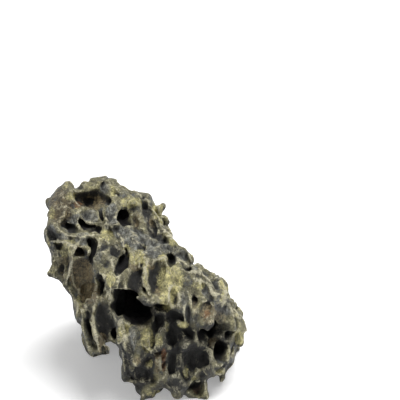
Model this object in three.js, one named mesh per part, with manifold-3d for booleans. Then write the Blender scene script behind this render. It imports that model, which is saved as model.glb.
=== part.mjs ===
import * as THREE from "three";
import { mergeVertices } from "three/addons/utils/BufferGeometryUtils.js";
import Module from "manifold-3d";

// A weathered piece of dragon stone, about 165 mm wide, standing on its own worn feet.
// Millimetres, +Z up, the front looks along -Y.

// The mass before weathering: broad cleavage faces around a middle point.
const MIDDLE = new THREE.Vector3(0, -4, 72);
const ROUNDING = 24;
// Each face: compass (0 front, 90 right, 180 back, 270 left), rise in degrees, distance.
const FACES = [
  [15, 58, 52],
  [350, 78, 81],
  [2, 33, 65],
  [4, -6, 71],
  [38, 4, 84],
  [318, 14, 69],
  [98, 50, 56],
  [114, 40, 56],
  [134, 33, 60],
  [88, 4, 81],
  [76, -24, 96],
  [150, 62, 87],
  [215, 66, 100],
  [262, 30, 94],
  [276, -4, 80],
  [280, -20, 57],
  [180, -4, 74],
  [228, 6, 82],
  [142, -8, 84],
  [190, 38, 86],
  [0, -90, 84],
];

// The front is set out on a board that leans back, seen square on from a stand-off point.
const BOARD_LEAN = 24;
const STAND_OFF = 944;
const STAND_ACROSS = 48;
const STAND_UP = 133;

// Flutes worn along the sight lines, which give the front its outline: across, up, half width,
// half height, turn.
const FLUTES = [
  [-54, 153, 7, 14, -8],
  [-32, 174, 50, 20, -8],
  [-8, 162, 24, 20, 0],
  [16, 150, 22, 20, 0],
  [36, 121, 22, 18, 0],
  [41, 104, 14, 14, 0],
  [61, 93, 24, 27, 0],
  [95, 81, 26, 48, 0],
  [88, 4, 9, 7, 0],
  [60, -32, 8, 18, 12],
  [-8, -37, 13, 12, 0],
  [21, -42, 6, 11, 0],
  [38, -43, 7, 12, 0],
  [10, -60, 60, 24, 0],
  [-22, -6, 7.5, 25, 8],
  [-81, 45, 22, 18, 0],
  [-77, 21, 26, 34, 0],
  [-93, 74, 20, 22, 0],
  [-84, 115, 8, 5, 0],
];
const FLUTE_START = 33;
const FLUTE_HALF_LENGTH = 100;

// Broad hollows of the front: across, up, half width, half height, depth, turn, upward lean.
const HOLLOWS = [
  [20, 26, 30, 20, 9, -10, 0],
  [-50, 110, 21, 9, 7, 4, 0],
  [-33, 36, 12, 25, 9, 5, 0],
  [-52, 68, 14, 19, 9, -10, 0],
  [7, 116, 9, 19, 8, 20, 0],
  [62, 12, 15, 17, 8, 0, 0],
  [-44, 135, 17, 12, 6, 0, 0],
  [-10, 101, 22, 9, 4, -28, 0],
  [-14, 18, 10, 22, 5, 4, 0],
  [28, 88, 17, 7, 3.5, -38, 0],
  [-70, 86, 12, 14, 4, 0, 0],
  [40, 52, 16, 14, 3.5, -10, 0],
  [0, -14, 18, 11, 3, 0, 0],
  [46, -2, 14, 11, 7, -8, 0],
  [28, -20, 9, 9, 3, 0, 0],
  [25, -4, 6, 14, 4, 5, 0],
  [25, 19, 6, 12, 4, 0, 0],
];

// Smaller scoops of the front, in the same order of numbers. Each leans up by a further angle.
const SCOOPS = [
  [-33, 142, 6, 6, 6, 0, 0],
  [-42, 133, 12, 9, 8, 0, 4],
  [-60, 119, 7, 9, 4, 0, 0],
  [-45, 120, 8, 6, 4, -25, 0],
  [-60, 99, 6, 4, 7, 10, 0],
  [-68, 85, 9, 9, 4, 0, 0],
  [-71, 69, 5, 6, 8, 0, 0],
  [-52, 68, 10, 14, 12, -10, 10],
  [-47, 55, 8, 6, 9, 0, 0],
  [-57, 64, 4, 9, 4, -6, 0],
  [-24, 90, 6, 7, 8, 0, 0],
  [-18, 107, 8, 6, 4, -30, 0],
  [3, 123, 5, 9, 11, 14, 0],
  [6, 110, 5, 8, 11, 14, 0],
  [11, 116, 4, 10, 6, 12, 0],
  [54, 37, 5, 7, 10, 5, 0],
  [38, 35, 4, 9, 4, 8, 0],
  [-7, 66, 7, 14, 11, -4, 22],
  [9, 67, 6.5, 14, 11, -6, 20],
  [15, 41, 11, 6, 12, -25, 35],
  [24, 36, 8, 6, 6, -10, 0],
  [12, 29, 5, 9, 7, 0, 0],
  [1, 34, 5, 5, 6, 0, 0],
  [1, 18, 5, 12, 3, 0, 0],
  [37, 20, 8, 5, 5, -12, 0],
  [41, -1, 4, 9, 4, 4, 0],
  [66, 23, 4, 6, 9, 0, 0],
  [62, 12, 6, 5, 8, 0, 0],
  [-54, 43, 4, 9, 4, 0, 0],
  [-33, 32, 8, 17, 9, 4, 0],
  [-35, 11, 5, 8, 5, 0, 0],
];
const SCOOP_LEAN = 18;

// Deep holes of the front, in the same order of numbers.
const HOLES = [
  [-51, 113, 4.5, 6, 16, 0, 0],
  [-47, 110, 5.5, 4, 16, -20, 0],
  [-62, 109, 5, 4, 11, 10, 0],
  [-16, 118, 6, 6.5, 18, 0, 0],
  [23.5, 82, 3.4, 5.5, 12, 8, 0],
  [-54, 89, 3.8, 5.8, 13, 0, 0],
  [-42, 91, 2.8, 12, 15, 0, 0],
  [-38, 66, 5, 5.5, 13, 0, 0],
  [-17, 79, 4.8, 9, 17, -12, 0],
  [-11, 42, 16.5, 9.5, 70, -27, 0],
  [-19, 45, 6, 7, 60, 0, 0],
  [0, 38, 6.5, 6, 60, 0, 0],
  [58, 22, 6, 7, 21, 0, 0],
  [51, 17, 5, 4.5, 14, -20, 0],
  [74, 17, 3.6, 5, 14, 10, 0],
  [66, 0, 6.5, 7.5, 20, 0, 0],
  [-47, 20, 4.6, 10, 16, 5, 0],
];

// Hollows of the sides, back and top: how many, and the sizes they run between.
const WORN_COUNT = 32;
const WORN_HALF_WIDTH = [10, 24];
const WORN_DEPTH = [5, 14];

// Rounded lobes that stand out of the mass: left limb, left foot and left shoulder; centre, half
// sizes.
const LOBES = [
  [[-61, 0, 104], [20, 27, 26]],
  [[-42, 14, 12], [9, 19, 20]],
  [[-59, 14, 135], [16, 20, 19]],
];

// The arches between the feet: centre, half sizes.
const BITES = [
  [[-31, -62, 4], [22, 62, 56]],
  [[-22, -8, -4], [10, 60, 46]],
  [[61, -62, 2], [9, 34, 21]],
  [[-10, -76, -2], [12, 22, 12]],
  [[20, -18, -2], [26, 26, 16]],
  [[-10, 8, -2], [26, 34, 14]],
  [[44, 22, -2], [26, 22, 14]],
];

const DOWN = 200;

const wasm = await Module();
wasm.setup();

function toSolid(geometry) {
  const bare = geometry.index ? geometry.toNonIndexed() : geometry.clone();
  bare.deleteAttribute("normal");
  bare.deleteAttribute("uv");
  const merged = mergeVertices(bare, 1e-4);
  return new wasm.Manifold(new wasm.Mesh({
    numProp: 3,
    vertProperties: new Float32Array(merged.attributes.position.array),
    triVerts: new Uint32Array(merged.index.array),
  }));
}

function heading(compass, rise) {
  const turn = THREE.MathUtils.degToRad(compass);
  const climb = THREE.MathUtils.degToRad(rise);
  return new THREE.Vector3(
    Math.sin(turn) * Math.cos(climb),
    -Math.cos(turn) * Math.cos(climb),
    Math.sin(climb),
  );
}

const FACE_HEADINGS = FACES.map(([compass, rise]) => heading(compass, rise));

// Reach of the unweathered mass, 1 on its skin: a high power mean of the broad faces.
function reach(offset) {
  let sum = 0;
  FACES.forEach((face, i) => {
    const part = Math.max(0, offset.dot(FACE_HEADINGS[i]) / face[2]);
    sum += part ** ROUNDING;
  });
  return sum ** (1 / ROUNDING);
}

function massGeometry() {
  const geometry = mergeVertices(bareSphere(5));
  const spots = geometry.attributes.position;
  const spot = new THREE.Vector3();
  for (let i = 0; i < spots.count; i += 1) {
    spot.fromBufferAttribute(spots, i).normalize();
    spot.divideScalar(reach(spot)).add(MIDDLE);
    spots.setXYZ(i, spot.x, spot.y, spot.z);
  }
  return geometry;
}

function bareSphere(detail) {
  const sphere = new THREE.IcosahedronGeometry(1, detail);
  sphere.deleteAttribute("normal");
  sphere.deleteAttribute("uv");
  return sphere;
}

const boardUp = heading(180, 90 - BOARD_LEAN);
const boardOut = heading(0, BOARD_LEAN);
const across = new THREE.Vector3(1, 0, 0);
const eye = across.clone().multiplyScalar(STAND_ACROSS)
  .addScaledVector(boardUp, STAND_UP)
  .addScaledVector(boardOut, STAND_OFF);

function placed(centre, half, detail) {
  const outward = new THREE.Matrix4().makeTranslation(new THREE.Vector3(...centre))
    .multiply(new THREE.Matrix4().makeScale(...half));
  return { outward, inward: outward.clone().invert(), detail };
}

const lobeFrames = LOBES.map(([centre, half]) => placed(centre, half, 2));

// Hollows cut so far, each as a frame that takes its ellipsoid to the unit ball.
const cuts = BITES.map(([centre, half]) => placed(centre, half, detailFor(half[0], half[2])));

function isSolid(point) {
  const isInLobe = lobeFrames.some((lobe) => point.clone().applyMatrix4(lobe.inward).length() < 1);
  if (reach(point.clone().sub(MIDDLE)) > 1 && !isInLobe) {
    return false;
  }
  return cuts.every((cut) => point.clone().applyMatrix4(cut.inward).length() > 1);
}

// First stone met from a start point along a heading.
function meet(start, along, from, to) {
  const point = new THREE.Vector3();
  for (let far = from; far < to; far += 0.5) {
    point.copy(start).addScaledVector(along, far);
    if (isSolid(point)) {
      return point;
    }
  }
  return null;
}

function outwardAt(point) {
  const here = reach(point.clone().sub(MIDDLE));
  const step = 0.5;
  const slope = ["x", "y", "z"].map((axis) => {
    const near = point.clone().sub(MIDDLE);
    near[axis] += step;
    return reach(near) - here;
  });
  return new THREE.Vector3(...slope).normalize();
}

function addCut(centre, wide, high, deep, inward, up, turn, detail) {
  const side = new THREE.Vector3().crossVectors(up, inward).normalize();
  const rise = new THREE.Vector3().crossVectors(inward, side).normalize();
  const basis = new THREE.Matrix4().makeBasis(side, rise, inward);
  const twist = new THREE.Matrix4().makeRotationZ(THREE.MathUtils.degToRad(turn));
  const outward = new THREE.Matrix4().makeTranslation(centre)
    .multiply(basis)
    .multiply(twist)
    .multiply(new THREE.Matrix4().makeScale(wide, high, deep));
  cuts.push({ outward, inward: outward.clone().invert(), detail });
}

function sightLine(right, up) {
  const aim = across.clone().multiplyScalar(right).addScaledVector(boardUp, up);
  return aim.sub(eye).normalize();
}

function cutFlutes() {
  const near = STAND_OFF - FLUTE_START;
  for (const [right, up, wide, high, turn] of FLUTES) {
    const along = sightLine(right, up);
    const centre = eye.clone().addScaledVector(along, near / -along.dot(boardOut));
    const size = near / STAND_OFF;
    addCut(centre, wide * size, high * size, FLUTE_HALF_LENGTH, along, boardUp, -turn,
      detailFor(wide, high));
  }
}

function cutFront(list, isHole, ownLean) {
  for (const [right, up, wide, high, deep, turn, tableLean] of list) {
    const along = sightLine(right, up);
    const spot = meet(eye, along, 750, 1150);
    if (!spot) {
      continue;
    }
    const normal = outwardAt(spot).negate();
    const inward = isHole
      ? new THREE.Vector3(along.x, along.y, 0).addScaledVector(normal, 0.3).normalize()
      : normal.addScaledVector(along, 0.6).normalize();
    const lean = THREE.MathUtils.degToRad(ownLean + tableLean);
    const rise = boardUp.clone().addScaledVector(inward, -boardUp.dot(inward)).normalize();
    inward.multiplyScalar(Math.cos(lean)).addScaledVector(rise, Math.sin(lean));
    const lift = isHole ? 0 : 0.6 * deep;
    const centre = spot.clone().addScaledVector(inward, -lift);
    const bulge = isHole ? 1 : 1.08;
    addCut(centre, wide * bulge, high * bulge, deep + lift, inward, boardUp, -turn,
      detailFor(wide, high));
  }
}

function detailFor(wide, high) {
  const size = Math.max(wide, high);
  if (size > 17) {
    return 2;
  }
  return size > 6 ? 1 : 0;
}

function fraction(value) {
  return value - Math.floor(value);
}

// Hollows spread evenly over the faces that the board doesn't reach.
function cutElsewhere() {
  for (let i = 0; i < WORN_COUNT * 2; i += 1) {
    const height = 1 - (2 * i + 1) / (WORN_COUNT * 2);
    const turn = i * 137.508;
    const out = heading(turn, THREE.MathUtils.radToDeg(Math.asin(height)));
    if (out.dot(boardOut) > -0.1 || height < -0.62) {
      continue;
    }
    const pick = fraction(i * 0.618);
    const other = fraction(i * 0.7549 + 0.31);
    const wide = THREE.MathUtils.lerp(...WORN_HALF_WIDTH, pick);
    const high = wide * THREE.MathUtils.lerp(0.55, 1, other);
    const deep = THREE.MathUtils.lerp(...WORN_DEPTH, other * other);
    const spot = meet(MIDDLE.clone().addScaledVector(out, 200), out.clone().negate(), 40, 200);
    const inward = outwardAt(spot).negate();
    const centre = spot.clone().addScaledVector(inward, -0.5 * deep);
    addCut(centre, wide, high, 1.5 * deep, inward, heading(0, 89), pick * 360, 1);
  }
}

cutFlutes();
cutFront(HOLLOWS, false, 0);
cutFront(SCOOPS, false, SCOOP_LEAN);
cutFront(HOLES, true, 0);
cutElsewhere();

let body = toSolid(massGeometry());
for (const lobe of lobeFrames) {
  body = body.add(toSolid(bareSphere(lobe.detail).applyMatrix4(lobe.outward)));
}
for (const cut of cuts) {
  body = body.subtract(toSolid(bareSphere(cut.detail).applyMatrix4(cut.outward)));
}

// The worn feet end on one level.
const ground = new THREE.BoxGeometry(400, 400, DOWN).translate(0, 0, -DOWN / 2);
body = body.subtract(toSolid(ground));

const mesh = body.getMesh();
const geometry = new THREE.BufferGeometry();
geometry.setAttribute("position", new THREE.BufferAttribute(mesh.vertProperties, 3));
geometry.setIndex(new THREE.BufferAttribute(mesh.triVerts, 1));
geometry.computeBoundingBox();
const middle = geometry.boundingBox.getCenter(new THREE.Vector3());
geometry.translate(-middle.x, -middle.y, 0);
geometry.computeVertexNormals();

const stone = new THREE.Mesh(
  geometry,
  new THREE.MeshStandardMaterial({ color: 0x77766a, roughness: 0.9, metalness: 0, flatShading: true }),
);
stone.name = "stone";

const part = new THREE.Group();
part.name = "dragon_stone";
part.add(stone);

export default part;
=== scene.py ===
"""Dragon stone: a weathered, deeply pitted clay stone on a pale studio floor."""

import math

import bpy
import numpy as np
from bpy.props import FloatProperty, FloatVectorProperty, IntProperty, PointerProperty
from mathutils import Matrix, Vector


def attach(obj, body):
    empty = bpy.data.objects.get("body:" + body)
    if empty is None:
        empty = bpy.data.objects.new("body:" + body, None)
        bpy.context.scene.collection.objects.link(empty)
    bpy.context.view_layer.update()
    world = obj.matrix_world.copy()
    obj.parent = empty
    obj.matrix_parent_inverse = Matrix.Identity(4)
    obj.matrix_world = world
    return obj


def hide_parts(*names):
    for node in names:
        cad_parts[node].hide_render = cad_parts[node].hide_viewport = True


bl_info = {
    "name": "Dragon Stone",
    "version": (1, 0, 0),
    "blender": (4, 5, 0),
    "location": "View3D > Sidebar > Dragon Stone",
    "description": "Builds a weathered dragon stone and a plain studio to show it in",
    "category": "Add Mesh",
}

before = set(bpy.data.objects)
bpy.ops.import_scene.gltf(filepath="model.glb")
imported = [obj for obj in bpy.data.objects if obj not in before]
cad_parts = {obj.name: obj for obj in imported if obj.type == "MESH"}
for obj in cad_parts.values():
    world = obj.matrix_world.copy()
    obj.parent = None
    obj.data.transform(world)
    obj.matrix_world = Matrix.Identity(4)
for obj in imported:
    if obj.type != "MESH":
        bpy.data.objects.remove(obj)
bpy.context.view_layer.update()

# Where the lights aim, in metres.
LIGHTS_AIM = Vector((0, 0, 0.07))

# The stone's numbers are millimetres and degrees; MM takes them to metres.
MM = 0.001

# Where the middle of the finished stone's box stands before it is brought over the origin.
BOX_MIDDLE = np.array([1.774, -1.989, 0.0])

# The corners of the grid that the stone is worked out on, and more than its longest side.
GRID_LOW = np.array([-92.0, -84.0, -6.0])
GRID_HIGH = np.array([92.0, 80.0, 162.0])
OUTSIDE = 200

# Steps in which straight lines feel for the surface.
FEELER = 0.5

# Direction in which the small marks are drawn out.
GRAIN = np.array([0.28, 0.1, -0.95])

# Factor that brings the soft noise to a spread of about 1.
NOISE_GAIN = 1.9

# Strength of a patch from which it stays free of random pits, and how fast fins wear away.
SMOOTH_FROM = 0.35
TRIM_RATE = 12

# Turn between one heading and the next where headings are spread evenly over a ball.
GOLDEN_ANGLE = 137.508

# The mass before weathering: broad cleavage faces (compass, rise, distance) around a middle.
MIDDLE = np.array([0.0, -4.0, 72.0])
ROUNDING = 24
FACES = (
    (15, 58, 52), (350, 78, 81), (2, 33, 65), (4, -6, 71), (38, 4, 84), (318, 14, 69),
    (98, 50, 56), (114, 40, 56), (134, 33, 60), (88, 4, 81), (76, -24, 96), (150, 62, 87),
    (215, 66, 100), (262, 30, 94), (276, -4, 80), (280, -20, 57), (180, -4, 74), (228, 6, 82),
    (142, -8, 84), (190, 38, 86), (0, -90, 84),
)

# Rounded lobes that stand out of the mass: left limb, left foot and left shoulder; centre,
# half sizes.
LOBES = (
    ((-61, 0, 104), (20, 27, 26)),
    ((-42, 14, 12), (9, 19, 20)),
    ((-60, 14, 136), (19, 20, 20)),
)

# The arches between the feet: centre, half sizes.
BITES = (
    ((-31, -62, 4), (22, 62, 56)),
    ((-22, -8, -4), (10, 60, 46)),
    ((61, -62, 2), (9, 34, 21)),
    ((-10, -76, -2), (12, 22, 12)),
    ((20, -18, -2), (26, 26, 16)),
    ((-10, 8, -2), (26, 34, 14)),
    ((44, 22, -2), (26, 22, 14)),
)

# The front is set out on a board that leans back, seen square on from a stand-off point.
BOARD_LEAN = 24.0
STAND_OFF = 944.0
STAND_ACROSS = 48.0
STAND_UP = 133.0

# Where lines from the stand-off point start and stop to feel for the front.
FRONT_NEAR, FRONT_FAR = 780, 1100

# Long flutes that run from front to back and shape the outline: across, up, half width,
# half height and, where it isn't 0, turn. Their middles lie nearer than the board.
FLUTE_NEARER = 33
FLUTE_HALF_LENGTH = 100
FLUTES = (
    (-54, 153, 7, 14, -8), (-32, 174, 50, 20, -8), (-8, 162, 24, 20), (16, 150, 22, 20),
    (36, 121, 22, 18), (41, 104, 14, 14), (61, 93, 24, 27), (95, 81, 26, 48), (88, 4, 9, 7),
    (60, -32, 8, 18, 12), (-8, -37, 13, 12), (21, -42, 6, 11), (38, -43, 7, 12),
    (10, -60, 60, 24), (-22, -6, 7.5, 25, 8), (-81, 45, 22, 18), (-77, 21, 26, 34),
    (-93, 74, 20, 22), (-84, 115, 8, 5),
)

# Hollows and holes with a smaller half width than this get chipped walls.
CHIPPED_BELOW = 14

# Broad hollows of the front: across, up, half width, half height, depth and, where they
# aren't 0, turn and tilt.
HOLLOWS = (
    (20, 26, 30, 20, 9, -10), (-50, 110, 21, 9, 7, 4), (-33, 36, 12, 25, 9, 5),
    (-52, 68, 14, 19, 9, -10), (7, 116, 9, 19, 8, 20), (62, 12, 15, 17, 8),
    (-44, 135, 17, 12, 6), (-10, 101, 22, 9, 4, -28), (-14, 18, 10, 22, 5, 4),
    (28, 88, 17, 7, 3.5, -38), (-70, 86, 12, 14, 4), (40, 52, 16, 14, 3.5, -10),
    (0, -14, 18, 11, 3), (46, -2, 14, 11, 7, -8), (28, -20, 9, 9, 3), (25, -4, 6, 14, 4, 5),
    (25, 19, 6, 12, 4),
)

# Plates of the front, which keep smoother than the rest: across, up, half sizes and, where
# it isn't 1, share.
PLATES = (
    (-24, 112, 8, 10), (-13, 101, 10, 7), (-2, 95, 9, 6), (9, 93, 9, 8), (22, 90, 8, 6),
    (33, 84, 8, 6), (22, 66, 11, 12), (-52, 68, 12, 16), (-7, 63, 8, 12), (9, 67, 8, 13),
    (-11, 42, 20, 13), (-9, 14, 5, 16, 0.8), (-33, 31, 8, 18, 0.8), (-44, 135, 15, 9, 0.8),
    (-5, -8, 8, 10, 0.6), (-72, 128, 8, 14, 0.6), (-43, 14, 12, 26, 0.9), (4, 12, 15, 22, 0.8),
    (-16, -14, 10, 16, 0.8), (38, 50, 10, 10, 0.5), (33, 4, 22, 20, 0.75),
    (-30, 120, 10, 12, 0.8), (-36, 86, 10, 14, 0.5),
)

# Limbs that are worn only as lightly as the front is, set out as the plates are.
LIMBS = (
    (-43, 14, 16, 30), (-62, 138, 18, 16), (-24, 150, 20, 12), (2, -34, 22, 10),
    (62, -20, 12, 12, 0.7),
)

# Scoops of the front, set out as the hollows are, each worn into what is left by the ones
# before it. All but the shallow ones lean back by a further angle.
SCOOP_LEAN = 18
SHALLOW = 2.5
SCOOPS = (
    (-33, 142, 6, 6, 6), (-46, 147, 5, 5, 2.5, 20), (-42, 133, 12, 9, 8, 0, 4),
    (-28, 128, 5, 9, 3), (-61, 134, 6, 5, 3), (-56, 128, 5, 4, 3), (-74, 133, 6, 7, 3, 15),
    (-75, 121, 5, 6, 3), (-60, 119, 7, 9, 4), (-45, 120, 8, 6, 4, -25), (-79, 105, 4, 8, 4, -5),
    (-70, 102, 9, 4, 3, 15), (-60, 99, 6, 4, 7, 10), (-50, 100, 6, 5, 4), (-68, 85, 9, 9, 4),
    (-71, 69, 5, 6, 8), (-34, 94, 4, 5, 3), (-31, 87, 4, 6, 3), (-46, 79, 4, 6, 4),
    (-52, 68, 10, 14, 12, -10, 10), (-47, 55, 8, 6, 9), (-57, 64, 4, 9, 4, -6),
    (-46, 46, 6, 4, 4), (-20, 63, 3, 6, 3, 10), (-24, 90, 6, 7, 8), (-28, 106, 5, 5, 3),
    (-18, 107, 8, 6, 4, -30), (-14, 97, 6, 5, 3, -40), (-2, 93, 6, 4, 2.5, -40),
    (7, 97, 5, 6, 3, 20), (10, 88, 6, 5, 3, -20), (-6, 108, 7, 4, 3, -25),
    (-7, 115, 3, 6, 3, 10), (3, 123, 5, 9, 11, 14), (6, 110, 5, 8, 11, 14),
    (11, 116, 4, 10, 6, 12), (-4, 135, 6, 5, 4, -35), (-18, 138, 4, 5, 4, 15),
    (13, 123, 3, 6, 3, 25), (22, 92, 6, 4, 3, -30), (33, 86, 7, 4, 3, -45),
    (33, 94, 5, 3, 3, -40), (36, 76, 3.5, 2.5, 5, -30), (43, 77, 4, 4.5, 4, 20),
    (47, 68, 6, 2.5, 4, -25), (52, 56, 3.5, 9, 5, 8), (59, 66, 4, 5, 3, 30),
    (65, 53, 5, 5, 3.5, 20), (75, 56, 3, 4, 3.5), (72, 37, 7, 5, 4, -35), (62, 40, 5, 7, 3),
    (54, 37, 5, 7, 10, 5), (25, 49, 3, 8, 6, -4), (35, 50, 4, 8, 4), (43, 52, 3, 8, 4),
    (35, 66, 7, 6, 2), (22, 68, 6, 7, 2), (30, 37, 3, 8, 4, 4), (38, 35, 4, 9, 4, 8),
    (45, 33, 3, 8, 3, 4), (-7, 68, 6.5, 12, 7, -4, 4), (9, 67, 6, 13, 8, -6, 8),
    (-11, 85, 2, 6, 2.5), (-6, 85, 2, 6, 2.5), (-1, 84, 2, 6, 2.5),
    (15, 41, 11, 5, 10, -28, 20), (24, 36, 8, 6, 6, -10), (12, 29, 5, 9, 7), (1, 34, 5, 5, 6),
    (-9, 17, 3, 13, 2.5, 8), (-1, -3, 3, 9, 2.5, 28), (-17, 2, 3, 12, 2.5, 4),
    (-16, 24, 4, 8, 2), (1, 18, 6, 12, 2.5), (8, 14, 2, 6, 1.5), (24, 19, 3, 8, 3),
    (37, 20, 8, 5, 5, -12), (17, 3, 3, 7, 3), (17, -9, 2, 6, 3), (24, -4, 3, 10, 3, 5),
    (41, -1, 4, 9, 4, 4), (51, -1, 5, 8, 3, -10), (36, -15, 4, 8, 3, 20), (27, -24, 5, 5, 2),
    (-4, -16, 6, 6, 2), (8, -20, 4, 6, 2.5), (50, -18, 3, 8, 4, -8), (-13, -14, 2.5, 8, 3),
    (66, 23, 4, 6, 9), (62, 12, 6, 5, 8), (76, 6, 4, 3, 4), (66, -12, 6, 3, 3, -20),
    (80, 30, 3, 6, 3), (-54, 43, 4, 9, 4), (-47, 38, 3, 7, 5, 25), (-33, 30, 8, 17, 5, 4),
    (-35, 11, 5, 8, 5), (-26, 45, 3, 8, 3),
)

# Deep holes of the front, set out as the hollows are.
HOLES = (
    (-36, 121, 2.2, 6, 10, 5), (-51, 112, 4, 4.5, 13), (-46, 109, 5, 3.2, 13, -20),
    (-62, 109, 3.6, 3, 9, 10), (-38, 108, 2, 3.2, 7), (-68, 113, 1.6, 5, 6),
    (-16, 118, 6, 6.5, 18), (19, 112, 3.5, 5, 10, 30), (16, 98, 5, 3.5, 11),
    (23.5, 82, 3.4, 5.5, 12, 8), (62, 60, 3, 1.8, 8, -40), (76, 47, 2.4, 7, 9, 10),
    (43.5, 47, 2.6, 3.8, 8), (-71, 94, 4.2, 3.2, 8), (-54, 89, 4.2, 4.6, 13, 20),
    (-42, 91, 2.8, 12, 15), (-31, 77, 3.2, 2.6, 6), (-38, 66, 5, 5.5, 13), (-37, 60, 3, 5, 11),
    (-17, 79, 4.8, 9, 17, -12), (-14, 87, 2, 5, 9, 12), (3, 53, 2.4, 4, 9),
    (-11, 42, 16.5, 8.2, 70, -29), (-19, 45, 6, 7, 60), (-8, 37, 7, 5, 60, -20),
    (0, 38, 6.5, 6, 60), (12, 44, 8, 2.6, 12, -30), (58, 22, 8, 8, 32),
    (51, 17, 5, 4.5, 14, -20), (74, 17, 3.6, 5, 14, 10), (66, 0, 6.5, 7.5, 20),
    (11, 1, 3, 3, 8), (45, -27, 3.4, 5.5, 11), (-47, 20, 4.6, 10, 16, 5), (-25, 19, 2.4, 5, 9),
)

# Lumps of clay that stand proud of the front: across, up, half width, half height, rise and,
# where it isn't 0, turn.
LUMPS = (
    (-12, 130, 9, 5, 4, -12), (-28, 65, 5, 8, 4), (-6, -4, 5, 5, 3), (6, -6, 2.4, 4.5, 2),
    (33, 26, 5, 3, 2.5), (58, 29, 3.4, 3, 3), (80, 17, 3.4, 7, 3), (17, 84, 4, 2.6, 2),
    (14, 14, 4, 7, 1.5), (12, 126, 4, 4, 2), (10, -30, 5, 4, 2), (-16, 14, 4, 6, 1.2),
)

# Thin pale ribs of the front: radius, then the points across and up that each runs through.
RIBS = (
    (1.1, (-7, 140), (-1, 135), (5, 131)),
    (1.2, (15, 113), (20, 106), (24, 101)),
    (1.2, (28, 83), (34, 80), (38, 76), (41, 72), (46, 71), (50, 71)),
    (1.3, (43, 66), (49, 64), (54, 62), (57, 58), (58, 53)),
    (1.0, (49, 71), (54, 66), (57, 62)),
    (1.3, (3, 82), (1.5, 73), (3, 64), (5, 58)),
    (0.9, (-10, 101), (-5, 97), (0, 95), (3, 91), (2, 86)),
    (0.9, (-22, 105), (-18, 100), (-17, 94), (-13, 89)),
    (1.2, (-28, 82), (-25, 75), (-21, 69), (-21, 62)),
    (1.1, (-32, 68), (-35, 63), (-33, 58)),
    (1.1, (-28, 54), (-19, 57), (-10, 55)),
    (1.3, (-62, 79), (-61, 70), (-58, 60), (-53, 52)),
    (1.2, (-49, 43), (-43, 34), (-41, 20), (-40, 10)),
    (1.1, (31, 2), (33, -8), (36, -16), (41, -22)),
    (1.0, (1, 84), (6, 82), (13, 82), (18, 85)),
    (0.9, (6, 42), (8, 37), (7, 32)),
    (1.0, (60, 53), (65, 53), (69, 48), (74, 42), (80, 38)),
    (1.0, (44, 13), (50, 10), (56, 7), (58, -2)),
    (1.3, (-42, 109), (-43, 103), (-41, 98)),
    (1.0, (22, 58), (22, 46), (25, 42), (29, 44), (29, 52)),
    (1.0, (-24, 34), (-18, 30), (-12, 28), (-4, 29)),
    (2.4, (-27, 55), (-28, 45), (-24, 35), (-18, 25), (-15, 14)),
    (1.0, (-78, 98), (-72, 98), (-64, 97), (-58, 93)),
    (1.1, (14, 2), (14, -8), (17, -18)),
    (1.2, (70, 70), (75, 64), (79, 54), (81, 44)),
    (1.0, (69, 60), (70, 50), (67, 44)),
)

# The skin is thinned to as many triangles as this many quads would have.
MOST_QUADS = 97000

# Hollows of the sides, back and top: how many are laid out, how much one may face the board,
# how low its heading may point, and the sizes that the hollows run between.
WORN_COUNT = 72
WORN_FACING = -0.1
WORN_LOWEST = -0.62
WORN_HALF_WIDTH = (10, 24)
WORN_DEPTH = (5, 14)

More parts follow.
